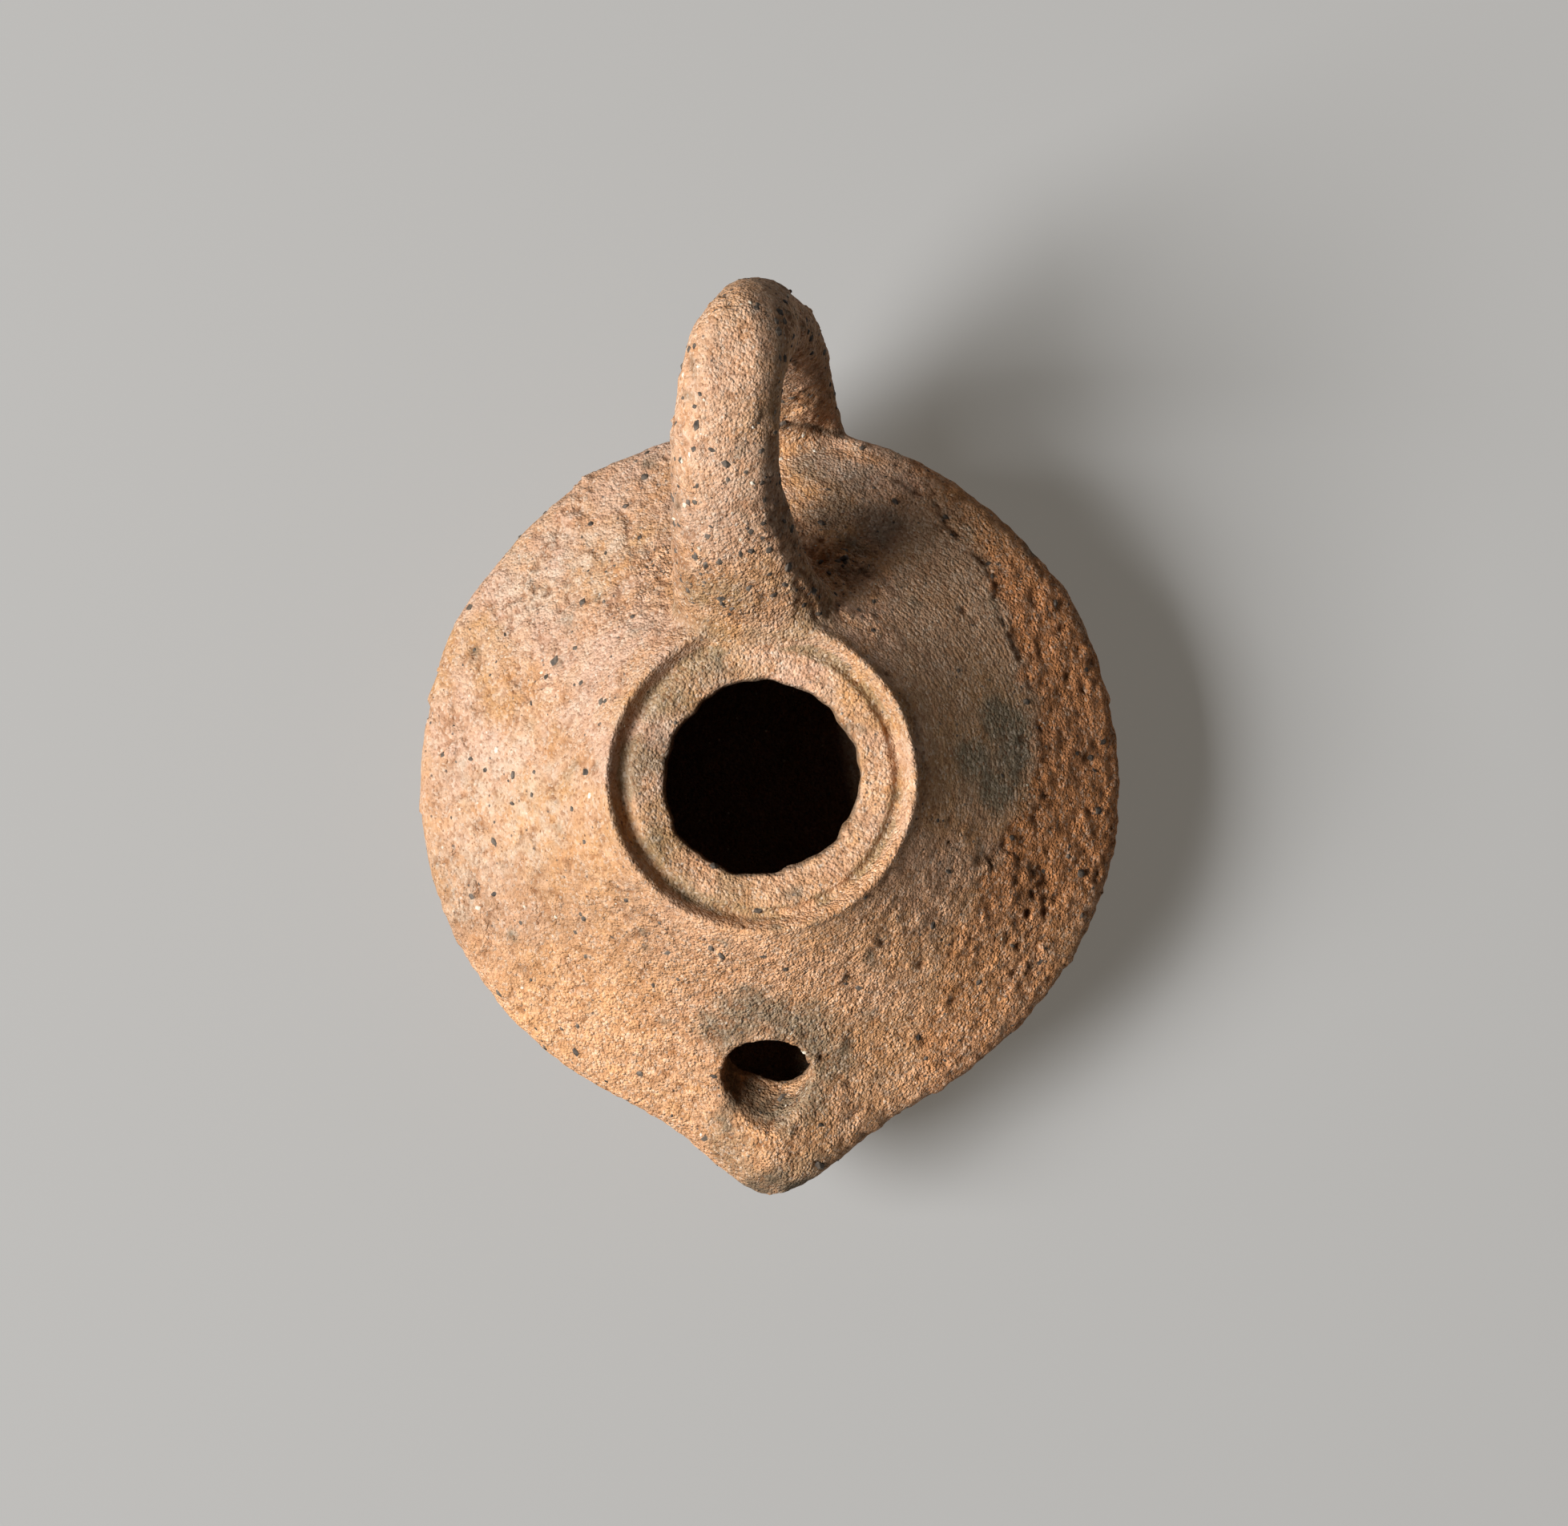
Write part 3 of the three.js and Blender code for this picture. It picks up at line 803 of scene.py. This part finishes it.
# %% A node group that scatters grains
def grain_nodes():
    group = bpy.data.node_groups.new("grains", "GeometryNodeTree")
    for name, kind, default in (
        ("Skin", "NodeSocketGeometry", None),
        ("Grains per square metre", "NodeSocketFloat", 10_000.0),
        ("Smallest", "NodeSocketFloat", 0.2 * MM),
        ("Largest", "NodeSocketFloat", 0.6 * MM),
        ("Seed", "NodeSocketInt", 1),
        ("Material", "NodeSocketMaterial", None),
    ):
        socket = group.interface.new_socket(name, in_out="INPUT", socket_type=kind)
        if default is not None:
            socket.default_value = default
    group.interface.new_socket("Grains", in_out="OUTPUT", socket_type="NodeSocketGeometry")
    given = add(group, "NodeGroupInput").outputs
    density = add(group, "GeometryNodeInputNamedAttribute", values={"Name": "grit"}, data_type="FLOAT")
    amount = add(
        group,
        "ShaderNodeMath",
        {0: density.outputs["Attribute"], 1: given["Grains per square metre"]},
        operation="MULTIPLY",
    )
    places = add(
        group,
        "GeometryNodeDistributePointsOnFaces",
        {"Mesh": given["Skin"], "Density": amount.outputs[0], "Seed": given["Seed"]},
    )
    pebble = add(group, "GeometryNodeMeshIcoSphere", values={"Radius": 1.0, "Subdivisions": 1})
    chance = add(group, "FunctionNodeRandomValue", {"Seed": given["Seed"]}, data_type="FLOAT")
    skewed = add(group, "ShaderNodeMath", {0: chance.outputs[1]}, {1: 1.8}, operation="POWER")
    size = add(
        group,
        "ShaderNodeMapRange",
        {"Value": skewed.outputs[0], "To Min": given["Smallest"], "To Max": given["Largest"]},
    )
    form = add(group, "FunctionNodeRandomValue", data_type="FLOAT_VECTOR")
    form.inputs[0].default_value = (0.75, 0.5, 0.45)
    form.inputs[1].default_value = (1.2, 0.95, 0.7)
    scale = add(
        group,
        "ShaderNodeVectorMath",
        {0: form.outputs[0], "Scale": size.outputs["Result"]},
        operation="SCALE",
    )
    spin = add(group, "FunctionNodeRandomValue", data_type="FLOAT_VECTOR")
    spin.inputs[0].default_value = (-0.35, -0.35, 0.0)
    spin.inputs[1].default_value = (0.35, 0.35, 2 * math.pi)
    turned = add(
        group,
        "FunctionNodeRotateRotation",
        {"Rotation": places.outputs["Rotation"], "Rotate By": spin.outputs[0]},
        rotation_space="LOCAL",
    )
    sunk = add(
        group,
        "ShaderNodeVectorMath",
        {0: places.outputs["Normal"]},
        operation="SCALE",
    )
    depth = add(group, "ShaderNodeMath", {0: size.outputs["Result"]}, {1: -0.31}, operation="MULTIPLY")
    group.links.new(depth.outputs[0], sunk.inputs["Scale"])
    lowered = add(
        group, "GeometryNodeSetPosition", {"Geometry": places.outputs["Points"], "Offset": sunk.outputs[0]}
    )
    grains = add(
        group,
        "GeometryNodeInstanceOnPoints",
        {
            "Points": lowered.outputs[0],
            "Instance": pebble.outputs["Mesh"],
            "Rotation": turned.outputs[0],
            "Scale": scale.outputs[0],
        },
    )
    solid = add(group, "GeometryNodeRealizeInstances", {"Geometry": grains.outputs[0]})
    painted = add(
        group, "GeometryNodeSetMaterial", {"Geometry": solid.outputs[0], "Material": given["Material"]}
    )
    add(group, "NodeGroupOutput", {0: painted.outputs[0]})
    return group


def make_stone(name, dark, light):
    material = blank_material(name)
    tree = material.node_tree
    where = add(tree, "ShaderNodeTexCoord").outputs["Object"]
    noise_node = add(tree, "ShaderNodeTexNoise", {"Vector": where}, {"Scale": per_mm(0.8), "Detail": 4.0})
    colour = add(tree, "ShaderNodeValToRGB", {"Fac": noise_node.outputs["Fac"]})
    colour.color_ramp.elements[0].position, colour.color_ramp.elements[1].position = 0.35, 0.65
    colour.color_ramp.elements[0].color, colour.color_ramp.elements[1].color = linear(dark), linear(light)
    shader = add(
        tree,
        "ShaderNodeBsdfPrincipled",
        {"Base Color": colour.outputs["Color"]},
        {"Roughness": 0.7, "IOR": 1.54, "Specular IOR Level": 0.3},
    )
    add(tree, "ShaderNodeOutputMaterial", {"Surface": shader.outputs["BSDF"]})
    return material


# %% Scatter the grains
GRAIN_KINDS = {
    # name: grains per square metre where the attribute is one, smallest, largest, seed, colours
    "dark_grit": (230_000, 0.15 * MM, 0.78 * MM, 11, "#352D26", "#685C50"),
    "pale_grit": (30_000, 0.16 * MM, 0.55 * MM, 23, "#B9A98F", "#DDD3C2"),
}
grains_group = grain_nodes()
for name, (amount, smallest, largest, seed, dark, light) in GRAIN_KINDS.items():
    grains = bpy.data.objects.new(name, lamp.data.copy())
    bpy.context.scene.collection.objects.link(grains)
    scatterer = grains.modifiers.new("grains", "NODES")
    scatterer.node_group = grains_group
    wanted = {
        "Grains per square metre": float(amount),
        "Smallest": smallest,
        "Largest": largest,
        "Seed": seed,
        "Material": make_stone(name, dark, light),
    }
    for item in grains_group.interface.items_tree:
        if item.in_out == "INPUT" and item.name in wanted:
            scatterer[item.identifier] = wanted[item.name]
    bake_modifiers(grains)
    grains.data.shade_flat()
    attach(grains, "root")
    print(name, triangle_count(grains) // 20, "grains")

# %% Hand the lamp to the frame
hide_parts(NODE)
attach(lamp, "root")

# %% [markdown]
# ## The floor and the light
# The lamp stands on a pale sweep. One large softbox on the left, a little below the middle of
# the picture and about 45 degrees up, does nearly all the work: it draws the grain and throws
# one soft shadow to the right. The sweep glows faintly, as a light table does, so that the
# shadow stays grey.

# %% The floor
FLOOR_SIZE = 2.4
FLOOR_GLOW = 0.33


def make_floor():
    mesh = bpy.data.meshes.new("floor")
    half = FLOOR_SIZE / 2
    level = cad_low.z
    corners = [(-half, -half, level), (half, -half, level), (half, half, level), (-half, half, level)]
    mesh.from_pydata(corners, [], [(0, 1, 2, 3)])
    floor = bpy.data.objects.new("floor", mesh)
    bpy.context.scene.collection.objects.link(floor)
    material = blank_material("pale_paper")
    tree = material.node_tree
    shader = add(
        tree,
        "ShaderNodeBsdfPrincipled",
        values={
            "Base Color": linear("#858585"),
            "Roughness": 0.95,
            "Emission Color": linear("#AEA89E"),
            "Emission Strength": FLOOR_GLOW,
        },
    )
    add(tree, "ShaderNodeOutputMaterial", {"Surface": shader.outputs["BSDF"]})
    mesh.materials.append(material)
    return floor


make_floor()

# %% The light
KEY_DISTANCE = 2.4
KEY_SIZE = 1.26
KEY_HEIGHT = math.radians(45)
KEY_TURN = math.radians(10)
KEY_WATTS = 124.0
WORLD_GLOW = 0.02


def make_key_light():
    data = bpy.data.lights.new("softbox", "AREA")
    data.shape = "SQUARE"
    data.size = KEY_SIZE
    data.energy = KEY_WATTS
    softbox = bpy.data.objects.new("softbox", data)
    flat = Vector((-math.cos(KEY_TURN), -math.sin(KEY_TURN), 0))
    towards = flat * math.cos(KEY_HEIGHT) + Vector((0, 0, math.sin(KEY_HEIGHT)))
    softbox.location = towards * KEY_DISTANCE
    softbox.rotation_mode = "QUATERNION"
    softbox.rotation_quaternion = towards.to_track_quat("Z", "Y")
    bpy.context.scene.collection.objects.link(softbox)
    return softbox


def make_world():
    world = bpy.data.worlds.new("studio")
    world.use_nodes = True
    world.node_tree.nodes.clear()
    background = add(
        world.node_tree, "ShaderNodeBackground", values={"Color": (1, 1, 1, 1), "Strength": WORLD_GLOW}
    )
    add(world.node_tree, "ShaderNodeOutputWorld", {"Surface": background.outputs[0]})
    bpy.context.scene.world = world


make_key_light()
make_world()
bpy.context.scene.view_settings.view_transform = "Standard"
